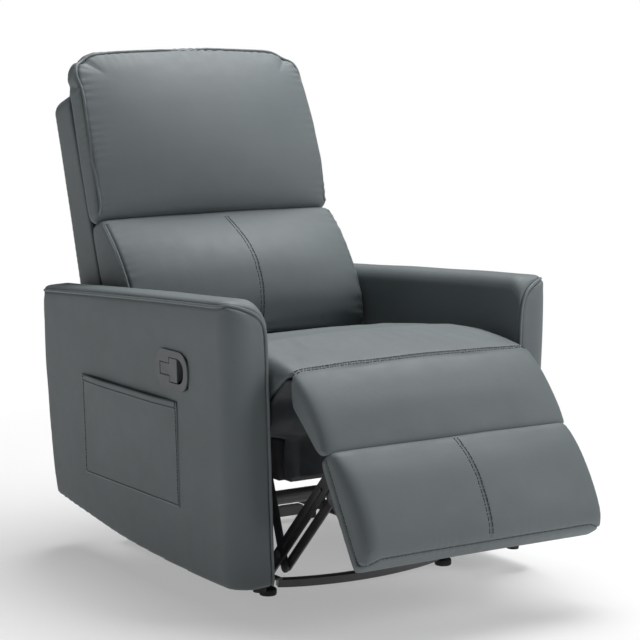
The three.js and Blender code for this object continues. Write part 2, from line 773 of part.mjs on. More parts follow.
function footBracket() {
  const seatedAt = boardBack - gap;
  const angle = block([205, plane.footBracket + linkage.thickness], [18, 150], [seatedAt - 3, seatedAt]);
  const flange = turnedInsideOut(laidAlong(creaseAt, boardAngle, bare(angle)));
  const angleRadians = THREE.MathUtils.degToRad(boardAngle);
  const [sin, cos] = [Math.sin(angleRadians), Math.cos(angleRadians)];
  const place = ([a, n]) => [creaseAt[0] - a * sin - n * cos, creaseAt[1] - a * cos + n * sin];
  const ear = polygon([[18, seatedAt], [18, -72], [26, -84], [58, -90], [74, -82], [150, seatedAt - 10],
    [150, seatedAt]].map(place).reverse());
  ear.holes.push(holeAt(boardPivot), holeAt(boardControl));
  return join(flange, sidePlate(ear, plane.footBracket, plane.footBracket + linkage.thickness));
}

addPart('footrest_board', footrestBoard(), darkCloth);
addPair('footrest_bracket', footBracket(), steel);

// ---------------------------------------------------------------- back frame

// The back is deeper at its foot than at its top.
const deepened = (geometry) => reshaped(bare(geometry), ([x, y, z]) => {
  const down = THREE.MathUtils.clamp((backrest.top - z) / (backrest.top - backrest.foot), 0, 1);
  return [x, y * (1 + down * (backrest.depthFoot / backrest.depthTop - 1)), z];
});

const coverThickness = 14;
const coverFace = backrest.depthTop - coverThickness;
const backFace = 4.5;                  // the pads rest just in front of this depth
const sideTop = backrest.top - 40;     // the side posts end here, under the top rail

function backSide() {
  const { sideInner, halfWidth: sideOuter, foot } = backrest;
  const profile = polygon([[sideInner, foot], [sideOuter, foot], [sideOuter, sideTop], [sideInner, sideTop]]);
  return deepened(frontPlate(profile, backFace, coverFace - gap));
}

// An outline with a straight foot at a height and round corners at the top of the back.
function archedOutline(foot) {
  const { halfWidth: half, top, topCorner } = backrest;
  const shape = new THREE.Shape();
  shape.moveTo(-half, foot);
  shape.lineTo(half, foot);
  shape.absarc(half - topCorner, top - topCorner, topCorner, 0, Math.PI / 2);
  shape.absarc(-half + topCorner, top - topCorner, topCorner, Math.PI / 2, Math.PI);
  return shape;
}

const backTop = () => deepened(frontPlate(archedOutline(sideTop + gap), backFace, coverFace - gap));
const rearCover = () => deepened(frontPlate(archedOutline(backrest.foot), coverFace, backrest.depthTop));

function backRail(low, high) {
  const reach = backrest.sideInner - gap;
  return block([-reach, reach], [20, 44], [low, high]);
}

function backBracket() {
  const shape = new THREE.Shape();
  shape.absarc(0, 0, 17, -Math.PI, 0);
  shape.lineTo(40, 90);
  shape.lineTo(40, 210);
  shape.lineTo(12, 210);
  shape.lineTo(4, 80);
  shape.lineTo(-17, 20);
  const inner = plane.backBracket;
  const plateSolid = sidePlate(shape, inner, inner + linkage.thickness);
  const hingePin = headedPin([0, 0], inner + 2, plane.sidePlate + 4.5);
  return join(plateSolid, hingePin);
}

addPair('back_side', backSide(), leather, backGroup);
addPart('back_top', backTop(), leather, backGroup);
addPart('rear_cover', rearCover(), leather, backGroup);
addPart('back_rail_upper', backRail(520, 560), wood, backGroup);
addPart('back_rail_middle', backRail(300, 340), wood, backGroup);
addPart('back_rail_lower', backRail(215, 250), wood, backGroup);
addPair('back_bracket', backBracket(), steel, backGroup);

springColumns.forEach((across, i) => {
  const spring = zigzag(330, 5, 22, 0).rotateX(Math.PI / 2).translate(across, 14, 222);
  addPart(`back_spring_${i + 1}`, spring, springSteel, backGroup);
});

export default chair;
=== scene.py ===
"""Looks of a recliner armchair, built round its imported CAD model. Metres, +Z up, the chair faces -Y."""

import json
import math

import bmesh
import bpy
from mathutils import Matrix, Vector, noise
from mathutils.bvhtree import BVHTree
from mathutils.kdtree import KDTree


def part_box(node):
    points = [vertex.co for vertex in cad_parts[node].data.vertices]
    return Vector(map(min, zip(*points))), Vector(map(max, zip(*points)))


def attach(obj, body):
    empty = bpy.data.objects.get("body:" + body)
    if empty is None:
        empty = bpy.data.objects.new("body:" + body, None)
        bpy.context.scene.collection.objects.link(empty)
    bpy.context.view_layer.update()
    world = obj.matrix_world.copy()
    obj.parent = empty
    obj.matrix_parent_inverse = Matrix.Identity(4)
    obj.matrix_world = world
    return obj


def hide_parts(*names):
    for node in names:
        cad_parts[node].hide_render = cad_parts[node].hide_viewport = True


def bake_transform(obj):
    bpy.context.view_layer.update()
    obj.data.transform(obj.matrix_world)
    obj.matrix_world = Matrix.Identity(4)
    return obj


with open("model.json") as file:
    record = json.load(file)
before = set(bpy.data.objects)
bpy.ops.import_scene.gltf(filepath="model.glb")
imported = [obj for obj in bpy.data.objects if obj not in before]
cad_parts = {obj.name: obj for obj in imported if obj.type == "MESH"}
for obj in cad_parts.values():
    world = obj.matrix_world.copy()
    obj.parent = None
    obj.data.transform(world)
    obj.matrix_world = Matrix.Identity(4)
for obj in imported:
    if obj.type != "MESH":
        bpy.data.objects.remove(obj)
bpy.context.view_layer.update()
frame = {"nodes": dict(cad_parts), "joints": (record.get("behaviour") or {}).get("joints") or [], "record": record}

# ---------------------------------------------------------------- places, from the frame

joints = {joint["name"]: joint for joint in frame["joints"]}
SIDES = {"left": -1, "right": 1}

RECLINE = math.radians(20)
CHAISE_ANGLE = math.radians(41.6)
FOOTREST_ANGLE = math.radians(31)
CHAISE_LENGTH = 0.1658

hinge = Vector(joints["back_recline"]["pos_m"])
seat_seam = Vector(joints["chaise_fold"]["pos_m"])
back_frame = Matrix.Translation(hinge) @ Matrix.Rotation(-RECLINE, 4, "X")


def laid_frame(start, angle):
    """Frame of a pad that leaves start at an angle from straight down.

    Its axes run across the pad, along it, and out of its face.
    """
    along = (0, -math.sin(angle), -math.cos(angle))
    out = (0, -math.cos(angle), math.sin(angle))
    turned = Matrix(((1, 0, 0), along, out)).transposed().to_4x4()
    return Matrix.Translation(start) @ turned


chaise_frame = laid_frame(seat_seam, CHAISE_ANGLE)
crease = chaise_frame @ Vector((0, CHAISE_LENGTH, 0))
footrest_frame = laid_frame(crease, FOOTREST_ANGLE)

VOXEL = 0.005                           # mesh step of the pads' covers
ARM_VOXEL = 0.0033
SHELL_VOXEL = 0.004
SWELL = 0.005                           # how far a cover may swell out

# A groove's depth and width.
PIPED_GROOVE = (0.004, 0.0038)
SEWN_GROOVE = (0.0018, 0.0026)

# ---------------------------------------------------------------- mesh helpers


def new_object(name, mesh):
    obj = bpy.data.objects.new(name, mesh)
    bpy.context.scene.collection.objects.link(obj)
    return obj


def from_bmesh(name, bm):
    bmesh.ops.recalc_face_normals(bm, faces=bm.faces)
    mesh = bpy.data.meshes.new(name)
    bm.to_mesh(mesh)
    bm.free()
    return new_object(name, mesh)


def grid_sheet(name, columns, rows, place):
    """An open sheet through place(u, v), with u and v from 0 to 1."""
    bm = bmesh.new()
    grid = [
        [bm.verts.new(place(i / columns, j / rows)) for i in range(columns + 1)]
        for j in range(rows + 1)
    ]
    for low, high in zip(grid, grid[1:]):
        for i in range(columns):
            bm.faces.new((low[i], low[i + 1], high[i + 1], high[i]))
    return from_bmesh(name, bm)


def thickened(obj, thickness):
    solid = obj.modifiers.new("thickness", "SOLIDIFY")
    solid.thickness = thickness
    solid.offset = 0
    return baked(obj)


def shade_smooth(obj):
    obj.data.polygons.foreach_set("use_smooth", [True] * len(obj.data.polygons))
    obj.data.update()
    return obj


def baked(obj):
    """Turns every modifier, or a curve's thickness, into the object's own mesh."""
    bpy.context.view_layer.update()
    depsgraph = bpy.context.evaluated_depsgraph_get()
    mesh = bpy.data.meshes.new_from_object(obj.evaluated_get(depsgraph))
    name = obj.name
    bpy.data.objects.remove(obj)
    made = new_object(name, mesh)
    made.name = name
    return made


def remeshed(obj, voxel, smoothing):
    remesh = obj.modifiers.new("remesh", "REMESH")
    remesh.mode = "VOXEL"
    remesh.voxel_size = voxel
    smooth = obj.modifiers.new("smooth", "SMOOTH")
    smooth.factor = 0.5
    smooth.iterations = smoothing
    return baked(obj)


def copied(name, *nodes):
    """One new object that holds copies of these CAD nodes' meshes."""
    bm = bmesh.new()
    for node in nodes:
        bm.from_mesh(frame["nodes"][node].data)
    mesh = bpy.data.meshes.new(name)
    bm.to_mesh(mesh)
    bm.free()
    return new_object(name, mesh)


def subdivided(obj):
    step = obj.modifiers.new("subdivide", "SUBSURF")
    step.levels = 1
    step.render_levels = 1
    return baked(obj)


def moved(obj, rule):
    """Moves every vertex by rule(place, normal), which returns a shift."""
    normals = [v.normal.copy() for v in obj.data.vertices]
    for vertex, normal in zip(obj.data.vertices, normals):
        vertex.co += rule(vertex.co, normal)
    obj.data.update()
    return obj


def swollen(obj, held, cap, pressure=4, stiffness=8, frames=20):
    """Blows a closed skin up like a filled cover. A vertex stays put where held(vertex) is true."""
    before = [v.co.copy() for v in obj.data.vertices]
    group = obj.vertex_groups.new(name="held")
    group.add([v.index for v in obj.data.vertices if held(v)], 1.0, "REPLACE")
    cloth = obj.modifiers.new("cloth", "CLOTH")
    cloth.settings.use_pressure = True
    cloth.settings.uniform_pressure_force = pressure
    cloth.settings.bending_stiffness = stiffness
    cloth.settings.effector_weights.gravity = 0
    cloth.settings.vertex_group_mass = group.name
    cloth.settings.quality = 4
    cloth.point_cache.frame_end = frames
    for number in range(1, frames + 1):
        bpy.context.scene.frame_set(number)
    obj = baked(obj)
    bpy.context.scene.frame_set(1)
    for vertex, start in zip(obj.data.vertices, before):
        shift = vertex.co - start
        vertex.co = start + shift * min(1, cap / max(shift.length, 1e-9))
    obj.data.update()
    return subdivided(obj)


def round_corner(obj, local_frame, half, edge, radius, side):
    """Rounds a pad's two upper corners (side 1) or two lower ones (side -1), as seen from its front."""
    inverse = local_frame.inverted()
    turn = local_frame.to_3x3()

    def shift(place, _):
        local = inverse @ place
        u = 1 + (abs(local.x) - half) / radius
        v = 1 + side * (local.z - edge) / radius
        if u <= 0 or v <= 0:
            return Vector()
        pull = radius * (max(u, v) / math.hypot(u, v) - 1)
        return turn @ Vector((math.copysign(1, local.x) * u * pull, 0, side * v * pull))

    return moved(obj, shift)


def sides_rounded(obj, core, half, reach, share):
    """Lets a pad's upper side edges fall away in a wide curve, towards a line that runs through it."""
    line = evenly_spaced(core, 0.001)
    tree = KDTree(len(line))
    for index, point in enumerate(line):
        tree.insert(Vector((0, point.y, point.z)), index)
    tree.balance()

    def shift(place, _):
        u = min(1, (abs(place.x) - half + reach) / reach)
        out = Vector((0, place.y, place.z)) - tree.find((0, place.y, place.z))[0]
        if u <= 0 or out.z <= 0:
            return Vector()
        return out * -share * (1 - math.sqrt(1 - u**2))

    return moved(obj, shift)


# ---------------------------------------------------------------- seams, piping and stitches


def evenly_spaced(points, step):
    """The same path with a point every step along it."""
    points = [Vector(p) for p in points]
    made = [points[0]]
    left = step
    for a, b in zip(points, points[1:]):
        length = (b - a).length
        travelled = 0
        while length - travelled >= left:
            travelled += left
            made.append(a.lerp(b, travelled / length))
            left = step
        left -= length - travelled
    return made


def surface_of(obj):
    mesh = obj.data
    return BVHTree.FromPolygons([v.co for v in mesh.vertices], [p.vertices for p in mesh.polygons])


def seam_on(obj, points, toward, step=0.004):
    """Where a path, cast toward a piece from outside it, lies on it: a list of (place, normal)."""
    tree = surface_of(obj)
    toward = Vector(toward).normalized()
    hits = [tree.ray_cast(p - toward * 0.4, toward) for p in evenly_spaced(points, step)]
    return [(place, normal) for place, normal, _, _ in hits if place is not None]


def nearest_on(tree, places):
    hits = [tree.find_nearest(place) for place in places]
    return [(place, normal) for place, normal, _, _ in hits]


def seam_near(obj, points, step=0.004):
    """The points of a piece nearest to a path beside it: a list of (place, normal)."""
    return evened(obj, nearest_on(surface_of(obj), evenly_spaced(points, step)))


def evened(obj, seam):
    """The same seam on a piece, with its small kinks smoothed away."""
    places = smoothed([place for place, _ in seam], 12)
    return nearest_on(surface_of(obj), places)


def tree_of(seam):
    tree = KDTree(len(seam))
    for index, (place, _) in enumerate(seam):
        tree.insert(place, index)
    tree.balance()
    return tree


def close_to(seam, reach):
    """True for places within reach of a seam."""
    tree = tree_of(seam)
    return lambda place: tree.find(place)[2] < reach


def pressed(obj, seam, depth, width):
    """Presses a groove into a piece along a seam."""
    tree = tree_of(seam)

    def shift(place, normal):
        distance = tree.find(place)[2]
        if distance > 3 * width:
            return Vector()
        return normal * -depth * math.exp(-((distance / width) ** 2))

    return moved(obj, shift)


def puckered(obj, seam, height, spacing, reach, seed=0.0):
    """Gathers the cover beside a seam in short folds that run away from it."""
    tree = tree_of(seam)
    runs = [0.0]
    for (before, _), (after, _) in zip(seam, seam[1:]):
        runs.append(runs[-1] + (after - before).length)

    def shift(place, normal):
        _, index, distance = tree.find(place)
        if distance > 4 * reach:
            return Vector()
        along = runs[index]
        wander = 2.5 * noise.noise(Vector((along * 14, seed, 0)))
        strength = 0.5 + noise.noise(Vector((along * 9, seed + 5, 0)))
        fold = math.sin(2 * math.pi * along / spacing + wander * math.pi)
        fade = min(1, distance / 0.006) * math.exp(-distance / reach)
        return normal * height * strength * fold * fade

    return moved(obj, shift)


def rumpled(obj, height, scale, seed):
    """Slow, shallow unevenness, as foam under a cover has."""
    offset = Vector((seed, 2 * seed, 3 * seed))
    return moved(obj, lambda place, normal: normal * height * noise.noise(place * scale + offset))


def piping(name, seam, body, radius=0.0026, sunk=0.0006):
    """A round leather-covered cord laid along a seam, a little sunk into it."""
    places = smoothed([place - normal * sunk for place, normal in seam], 6)
    curve = bpy.data.curves.new(name, "CURVE")
    curve.dimensions = "3D"
    curve.bevel_depth = radius
    curve.bevel_resolution = 3
    curve.use_fill_caps = True
    spline = curve.splines.new("POLY")
    spline.points.add(len(places) - 1)
    for point, place in zip(spline.points, places):
        point.co = (*place, 1)
    return finished(baked(new_object(name, curve)), leather, body)


def smoothed(places, rounds):
    places = [p.copy() for p in places]
    for _ in range(rounds):
        middle = [(a + 2 * b + c) / 4 for a, b, c in zip(places, places[1:], places[2:])]
        places = [places[0], *middle, places[-1]]
    return places


STITCH_LENGTH = 0.0044
STITCH_PITCH = 0.0054
STITCH_RADIUS = 0.0009


def seam_beside(obj, seam, offset):
    """The line on a piece that runs at an offset to a seam's left, or to its right if negative."""
    tree = surface_of(obj)
    beside = []
    for (before, _), (place, out), (after, _) in zip(seam, seam[1:], seam[2:]):
        aside = out.cross(after - before).normalized()
        hit, normal, _, _ = tree.find_nearest(place + aside * offset + out * 0.003)
        beside.append((hit, normal))
    return beside


def stitches(name, seam, body):
    """A row of thread stitches along a seam."""
    bm = bmesh.new()
    places = smoothed([place for place, _ in seam], 3)
    normals = [normal for _, normal in seam]
    run = STITCH_PITCH
    for index in range(1, len(places) - 1):
        run += (places[index] - places[index - 1]).length
        if run < STITCH_PITCH:
            continue
        run -= STITCH_PITCH
        ahead = (places[index + 1] - places[index - 1]).normalized()
        out = normals[index]
        aside = out.cross(ahead).normalized()
        add_stitch(bm, places[index] + out * 0.0005, ahead, aside)
    return finished(from_bmesh(name, bm), thread, body)


def add_stitch(bm, centre, ahead, aside, sides=6):
    """A short rounded thread: thick in the middle, thin where it dives into the cover."""
    out = ahead.cross(aside)
    rings = []
    for share, width in ((-0.5, 0.35), (-0.3, 0.9), (0, 1.0), (0.3, 0.9), (0.5, 0.35)):
        middle = centre + ahead * share * STITCH_LENGTH - out * 0.0006 * abs(2 * share) ** 3
        ring = []
        for i in range(sides):
            turn = 2 * math.pi * i / sides
            radial = aside * math.cos(turn) + out * math.sin(turn)
            ring.append(bm.verts.new(middle + radial * width * STITCH_RADIUS))
        rings.append(ring)
    for low, high in zip(rings, rings[1:]):
        for i in range(sides):
            bm.faces.new((low[i], low[(i + 1) % sides], high[(i + 1) % sides], high[i]))
    bm.faces.new(reversed(rings[0]))
    bm.faces.new(rings[-1])


def finished(obj, material, body):
    """Gives a piece its material and smooth shading, and hangs it on its body when it has one."""
    obj.data.materials.clear()
    obj.data.materials.append(material)
    shade_smooth(obj)
    if body:
        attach(obj, body)
    return obj


# ---------------------------------------------------------------- materials


class Shader:
    """A small wrapper that adds nodes to a new material and joins them."""

    def __init__(self, name):
        self.material = bpy.data.materials.new(name)
        self.material.use_nodes = True
        self.nodes = self.material.node_tree.nodes
        self.links = self.material.node_tree.links
        self.bsdf = self.nodes["Principled BSDF"]
        self.place = self.nodes.new("ShaderNodeTexCoord").outputs["Object"]

    def noise(self, scale, detail=3.0, roughness=0.5, stretch=(1, 1, 1)):
        node = self.nodes.new("ShaderNodeTexNoise")
        node.inputs["Scale"].default_value = scale
        node.inputs["Detail"].default_value = detail
        node.inputs["Roughness"].default_value = roughness
        self.links.new(self.stretched(stretch), node.inputs["Vector"])
        return node.outputs["Fac"]

    def stretched(self, stretch):
        if stretch == (1, 1, 1):
            return self.place
        node = self.nodes.new("ShaderNodeMapping")
        node.inputs["Scale"].default_value = stretch
        self.links.new(self.place, node.inputs["Vector"])
        return node.outputs["Vector"]

    def cells(self, scale):
        node = self.nodes.new("ShaderNodeTexVoronoi")
        node.feature = "SMOOTH_F1"
        node.inputs["Scale"].default_value = scale
        self.links.new(self.place, node.inputs["Vector"])
        return node.outputs["Distance"]

    def edges(self):
        return self.nodes.new("ShaderNodeNewGeometry").outputs["Pointiness"]

    def spread(self, value, low, high, to_low, to_high):
        node = self.nodes.new("ShaderNodeMapRange")
        node.inputs["From Min"].default_value = low
        node.inputs["From Max"].default_value = high
        node.inputs["To Min"].default_value = to_low
        node.inputs["To Max"].default_value = to_high
        self.links.new(value, node.inputs["Value"])
        return node.outputs["Result"]

    def blend(self, share, first, second):
        """Mixes two colours, each a tuple or another node's output, by a share from 0 to 1."""
        node = self.nodes.new("ShaderNodeMix")
        node.data_type = "RGBA"
        self.links.new(share, node.inputs["Factor"])
        for socket, colour in ((node.inputs["A"], first), (node.inputs["B"], second)):
            if isinstance(colour, tuple):
                socket.default_value = (*colour, 1)
            else:
                self.links.new(colour, socket)
        return node.outputs["Result"]

    def bump(self, height, distance, strength=1.0, under=None):
        node = self.nodes.new("ShaderNodeBump")
        node.inputs["Distance"].default_value = distance
        node.inputs["Strength"].default_value = strength
        self.links.new(height, node.inputs["Height"])
        if under is not None:
            self.links.new(under, node.inputs["Normal"])
        return node.outputs["Normal"]

    def set(self, **values):
        names = {name.replace(" ", "_").lower(): name for name in self.bsdf.inputs.keys()}
        for key, value in values.items():
            socket = self.bsdf.inputs[names[key]]
            if isinstance(value, bpy.types.NodeSocket):
                self.links.new(value, socket)
            else:
                socket.default_value = (*value, 1) if isinstance(value, tuple) else value
        return self.material


def leather_material():
    """Slate leatherette: fine pebble grain, faint clouding, lighter on worn ridges."""
    shader = Shader("slate_leatherette")
    clouds = shader.spread(shader.noise(5, 4, 0.55), 0.3, 0.7, 0, 1)
    body = shader.blend(clouds, (0.118, 0.138, 0.144), (0.134, 0.156, 0.163))
    ridges = shader.spread(shader.edges(), 0.505, 0.56, 0, 0.35)
    colour = shader.blend(ridges, body, (0.2, 0.225, 0.232))
    gloss = shader.spread(shader.noise(38, 3), 0.3, 0.7, 0.55, 0.63)
    creases = shader.bump(shader.noise(60, 4, 0.6, (1, 1, 0.6)), 0.0006, 0.35)
    grain = shader.bump(shader.cells(620), 0.00016, 0.55, creases)
    pores = shader.bump(shader.noise(1500, 2), 0.00006, 0.5, grain)
    return shader.set(base_color=colour, roughness=gloss, normal=pores, specular_ior_level=0.38)


def thread_material():
    """Polyester thread, coloured far darker than the cover: partly the thread's own colour and partly painted
    shade of the seam's recess.
    """
    shader = Shader("thread")
    tone = shader.spread(shader.noise(300, 2), 0.3, 0.7, 0, 1)
    # These near-black colours are partly painted shade, so that the stitch rows read as dark recessed lines.
    colour = shader.blend(tone, (0.014, 0.018, 0.02), (0.03, 0.036, 0.04))
    twist = shader.bump(shader.noise(1800, 1), 0.0002, 0.6)
    return shader.set(base_color=colour, roughness=0.55, normal=twist)


def steel_material():
    """Black powder-coated steel: orange-peel skin, rubbed grey on its edges."""
    shader = Shader("black_steel")
    rubbed = shader.spread(shader.edges(), 0.54, 0.62, 0, 0.6)
    dusty = shader.spread(shader.noise(22, 4), 0.45, 0.75, 0, 1)
    body = shader.blend(dusty, (0.010, 0.010, 0.011), (0.022, 0.022, 0.023))
    colour = shader.blend(rubbed, body, (0.12, 0.12, 0.125))
    gloss = shader.spread(shader.noise(55, 3), 0.3, 0.7, 0.28, 0.46)
    peel = shader.bump(shader.noise(420, 2), 0.00012, 0.5)
    return shader.set(base_color=colour, roughness=gloss, normal=peel, specular_ior_level=0.6)


def timber_material():
    shader = Shader("timber")
    rings = shader.spread(shader.noise(14, 5, 0.6, (6, 6, 0.5)), 0.35, 0.65, 0, 1)
    colour = shader.blend(rings, (0.38, 0.24, 0.12), (0.56, 0.39, 0.22))
    pores = shader.bump(shader.noise(90, 4, 0.6, (8, 8, 0.6)), 0.0004, 0.5)
    return shader.set(base_color=colour, roughness=0.65, normal=pores)


def spring_material():
    shader = Shader("spring_steel")
    oil = shader.spread(shader.noise(30, 3), 0.35, 0.65, 0, 1)
    colour = shader.blend(oil, (0.24, 0.24, 0.25), (0.38, 0.37, 0.36))
    drawn = shader.bump(shader.noise(700, 2), 0.00008, 0.4)
    gloss = shader.spread(oil, 0, 1, 0.25, 0.42)
    return shader.set(base_color=colour, metallic=1.0, roughness=gloss, normal=drawn)


def plastic_material():
    """Moulded grey plastic with a fine matt texture."""
    shader = Shader("grey_plastic")
    tone = shader.spread(shader.noise(45, 3), 0.3, 0.7, 0, 1)
    body = shader.blend(tone, (0.066, 0.074, 0.079), (0.078, 0.087, 0.093))
    worn = shader.spread(shader.edges(), 0.53, 0.6, 0, 0.4)
    colour = shader.blend(worn, body, (0.15, 0.165, 0.175))
    spark = shader.bump(shader.noise(1400, 2), 0.0001, 0.5)
    return shader.set(base_color=colour, roughness=0.46, normal=spark)


def rubber_material():
    shader = Shader("black_rubber")
    scuffs = shader.spread(shader.noise(40, 5, 0.7), 0.5, 0.8, 0, 1)
    colour = shader.blend(scuffs, (0.011, 0.011, 0.011), (0.03, 0.03, 0.029))
    skin = shader.bump(shader.noise(600, 3), 0.00015, 0.5)
    return shader.set(base_color=colour, roughness=0.72, normal=skin)


def cloth_material():
    """Thin woven dust cloth."""
    shader = Shader("black_cloth")
    tone = shader.spread(shader.noise(25, 4), 0.3, 0.7, 0, 1)
    colour = shader.blend(tone, (0.014, 0.016, 0.019), (0.028, 0.032, 0.037))
    warp = shader.bump(shader.noise(900, 1, 0.5, (4, 4, 0.4)), 0.0003, 0.6)
    weft = shader.bump(shader.noise(900, 1, 0.5, (0.4, 0.4, 4)), 0.0003, 0.6, warp)
    return shader.set(base_color=colour, roughness=0.85, normal=weft, sheen_weight=0.3)


leather = leather_material()
thread = thread_material()
steel = steel_material()
timber = timber_material()
spring_steel = spring_material()
plastic = plastic_material()
rubber = rubber_material()
dust_cloth = cloth_material()

FINISHES = {
    "slate_leatherette": leather,
    "black_steel": steel,
    "timber": timber,
    "spring_steel": spring_steel,
    "grey_plastic": plastic,
    "black_rubber": rubber,
    "black_cloth": dust_cloth,
}


def dress_cad_nodes():
    """Gives each carried-over CAD node its finish, and hard ones a small round on their edges."""
    for part in frame["record"]["subparts"]:
        obj = frame["nodes"][part["node"]]
        obj.data.materials.clear()
        obj.data.materials.append(FINISHES[part["material_slot"]])
        if part["material_slot"] in ("black_steel", "grey_plastic", "timber"):
            bevel = obj.modifiers.new("edge_round", "BEVEL")
            bevel.width = 0.0006
            bevel.segments = 2
            bevel.limit_method = "ANGLE"
            bevel.angle_limit = math.radians(50)


# ---------------------------------------------------------------- back pads

PILLOW = {
    "half": 0.274,
    "taper": 0.026,
    "top": 0.684,
    "bottom": 0.328,
    "tuck": 0.020,
}
LUMBAR = {"half": 0.271, "top": 0.323, "bottom": 0.070}
SHELL_TOP = 0.608
EDGE_INSET = 0.006


def on_back(across, up, depth=0.0):
    return back_frame @ Vector((across, depth, up))


def back_forward():
    return back_frame.to_3x3() @ Vector((0, 1, 0))


def rests_on_frame(place):
    """True for places on a back pad that lie against the frame behind it."""
    return (back_frame.inverted() @ place).y > -0.006


def arch(half, low, high, radius):
    """Up one side, over the top with round corners, and down the other side, as (across, up)."""
    turns = [i * math.pi / 24 for i in range(13)]
    side = [(-half, low)]
    side += [(-half + radius * (1 - math.cos(t)), high - radius * (1 - math.sin(t))) for t in turns]
    return side + [(-x, z) for x, z in reversed(side)]


def pillow_width(up):
    """The pillow narrows a little towards its top."""
    along = (up - PILLOW["bottom"]) / (PILLOW["top"] - PILLOW["bottom"])
    return 1 - PILLOW["taper"] * min(1, max(0, along))


def narrowed(pillow):
    inverse = back_frame.inverted()

    def shift(place, _):
        local = inverse @ place
        return Vector((local.x * (pillow_width(local.z) - 1), 0, 0))

    return moved(pillow, shift)


def pillow_seam(pillow):
    """The piped edge of the front panel, up one side, over the top and down the other."""
    edge = arch(PILLOW["half"] - 0.001, PILLOW["bottom"] + 0.010, PILLOW["top"] - 0.002, 0.060)
    path = []
    for x, z in evenly_spaced(edge, 0.01):
        rise = min(1, max(0, (z - 0.59) / 0.08))
        crown = 0.008 * (1 - (x / PILLOW["half"]) ** 2) * rise
        path.append(on_back(x * pillow_width(z), z + crown, -0.052 + 0.014 * rise))
    return seam_near(pillow, path)


def tucked_under(pillow):
    """Rolls the lower third of the pillow's front back towards the lumbar pad."""
    inverse = back_frame.inverted()
    reach = 0.13

    def shift(place, _):
        local = inverse @ place
        share = max(0, 1 - (local.z - PILLOW["bottom"]) / reach)
        front = min(1, max(0, -local.y / 0.08))
        return back_forward() * PILLOW["tuck"] * front * share**2

    return moved(pillow, shift)


def pinch(pillow, side):
    """The side band folds in where it leaves the top of the shell."""
    line = ((-0.030, -0.003), (0, 0.006))
    path = [on_back(side * 0.35, SHELL_TOP + rise, depth) for depth, rise in line]
    return seam_on(pillow, path, (-side, 0, 0), 0.003)


def make_head_pillow():
    pillow = narrowed(remeshed(copied("pillow_cover", "head_pillow"), VOXEL, 3))
    round_corner(pillow, back_frame, PILLOW["half"] * pillow_width(0.65), PILLOW["top"], 0.064, 1)
    round_corner(pillow, back_frame, PILLOW["half"], PILLOW["bottom"], 0.010, -1)
    tucked_under(pillow)
    drawn_out(pillow, PILLOW["bottom"], 0.003, -1)
    sewn = close_to(pillow_seam(pillow), 0.009)
    pillow = swollen(pillow, lambda v: rests_on_frame(v.co) or sewn(v.co), cap=SWELL)
    for side in SIDES.values():
        pressed(pillow, pinch(pillow, side), 0.0025, 0.008)
    seam = pillow_seam(pillow)
    pressed(pillow, seam, *PIPED_GROOVE)
    puckered(pillow, seam, 0.0014, 0.019, 0.016, seed=1)
    rumpled(pillow, 0.0016, 8, seed=4)
    finished(pillow, leather, "backrest")
    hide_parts("head_pillow")
    piping("pillow_piping", pillow_seam(pillow), "backrest", 0.003, 0.0002)


def drawn_out(pad, edge, amount, side):
    """Stretches a back pad's end up (side 1) or down (side -1), so that it meets the next pad."""
    inverse = back_frame.inverted()
    up = back_frame.to_3x3() @ Vector((0, 0, side))
    reach = 0.05

    def shift(place, _):
        share = 1 - side * (edge - (inverse @ place).z) / reach
        return up * amount * min(1, max(0, share))

    return moved(pad, shift)


def lumbar_seam(pad, across, step=0.004):
    path = [on_back(across, LUMBAR["bottom"] + 0.012), on_back(across, LUMBAR["top"] - 0.006)]
    return evened(pad, seam_on(pad, path, back_forward(), step))


def make_lumbar_pad():
    pad = remeshed(copied("lumbar_cover", "lumbar_pad"), VOXEL, 3)
    round_corner(pad, back_frame, LUMBAR["half"], LUMBAR["top"], 0.010, 1)
    drawn_out(pad, LUMBAR["top"], 0.006, 1)
    lines = (-LUMBAR["half"] + EDGE_INSET, 0, LUMBAR["half"] - EDGE_INSET)
    sewn = [close_to(lumbar_seam(pad, across), 0.008) for across in lines]
    pad = swollen(pad, lambda v: rests_on_frame(v.co) or any(near(v.co) for near in sewn), cap=SWELL)
    for side, across in (("left", lines[0]), ("right", lines[2])):
        seam = lumbar_seam(pad, across)
        pressed(pad, seam, *PIPED_GROOVE)
        puckered(pad, seam, 0.0011, 0.023, 0.016, seed=across)
        piping(f"lumbar_piping_{side}", lumbar_seam(pad, across), "backrest")
    pressed(pad, lumbar_seam(pad, 0), *SEWN_GROOVE)
    rumpled(pad, 0.0014, 8, seed=9)
    finished(pad, leather, "backrest")
    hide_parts("lumbar_pad")
    twin_stitches("lumbar_stitches", pad, lumbar_seam(pad, 0, 0.002), "backrest")


def twin_stitches(name, piece, seam, body, apart=0.0036):
    """Two rows of stitches on a piece, one on each side of a seam."""
    for side, offset in (("a", apart), ("b", -apart)):
        stitches(f"{name}_{side}", seam_beside(piece, seam, offset), body)


def make_back_shell():
    """The upholstered case behind the pads: sides, top and rear cover in one skin."""
    nodes = ("back_side_left", "back_side_right", "back_top", "rear_cover")
    shell = remeshed(copied("back_shell", *nodes), SHELL_VOXEL, 3)
    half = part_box("rear_cover")[1].x
    edge = [on_back(x, z) for x, z in arch(half - 0.006, 0.075, SHELL_TOP - 0.006, 0.030)]
    seam = seam_on(shell, edge, -back_forward())
    pressed(shell, seam, 0.0025, 0.004)
    rumpled(shell, 0.0012, 7, seed=13)
    finished(shell, leather, "backrest")
    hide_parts(*nodes)
    piping("back_shell_piping", seam, "backrest", 0.0022)


